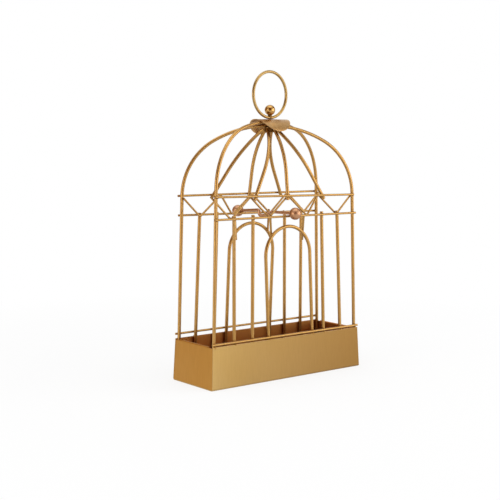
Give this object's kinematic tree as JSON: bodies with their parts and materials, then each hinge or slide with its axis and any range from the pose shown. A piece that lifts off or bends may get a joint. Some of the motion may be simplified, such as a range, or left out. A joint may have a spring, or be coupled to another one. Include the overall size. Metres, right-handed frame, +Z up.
{
  "type": "wedding card box",
  "caption": "Birdcage-shaped card box: a shallow tapered metal tray under an open wire cage with arched doorways, a domed top, a rolled cap and a hanging ring.",
  "frame": {"origin": "on the table, at the middle of the bounding box's bottom face, under the middle of the tray", "axes": "+X along the tray's long side, +Y from the front panel to the back panel, +Z up to the hanging ring"},
  "size_m": [0.13, 0.0593, 0.2079],
  "materials": {
    "tray_gold": "satin gold over brushed sheet steel",
    "wire_gold": "glossy antique gold wire",
    "rail_gold": "glossy antique gold thin wire",
    "zigzag_gold": "glossy antique gold thin wire",
    "cap_gold": "glossy gold sheet",
    "ball_gold": "glossy gold ball",
    "braze": "brazed joint under gold",
    "cross_copper": "glossy copper-pink"
  },
  "bodies": {
    "root": {"tray_pan": "tray_gold", "tray_end_left": "tray_gold", "tray_end_right": "tray_gold", "upper_hoop": "wire_gold", "lower_hoop": "wire_gold", "front_bottom_rail": "rail_gold", "front_lower_rail": "rail_gold", "front_upper_rail": "rail_gold", "back_bottom_rail": "rail_gold", "back_lower_rail": "rail_gold", "back_upper_rail": "rail_gold", "front_zigzag": "zigzag_gold", "back_zigzag": "zigzag_gold", "front_bar_1": "wire_gold", "front_bar_2": "wire_gold", "front_bar_3": "wire_gold", "front_bar_4": "wire_gold", "back_bar_1": "wire_gold", "back_bar_2": "wire_gold", "back_bar_3": "wire_gold", "back_bar_4": "wire_gold", "front_arch": "wire_gold", "back_arch": "wire_gold", "front_link_1": "rail_gold", "front_link_2": "rail_gold", "back_link_1": "rail_gold", "back_link_2": "rail_gold", "front_rib_1": "wire_gold", "front_rib_2": "wire_gold", "front_rib_3": "wire_gold", "back_rib_1": "wire_gold", "back_rib_2": "wire_gold", "back_rib_3": "wire_gold", "crown_stud": "braze", "cap": "cap_gold", "hanging_ring": "wire_gold", "finial_neck": "braze", "finial_ball": "ball_gold", "cross_rod": "cross_copper", "cross_ball_front": "cross_copper", "cross_ball_back": "cross_copper"}
  },
  "joints": []
}
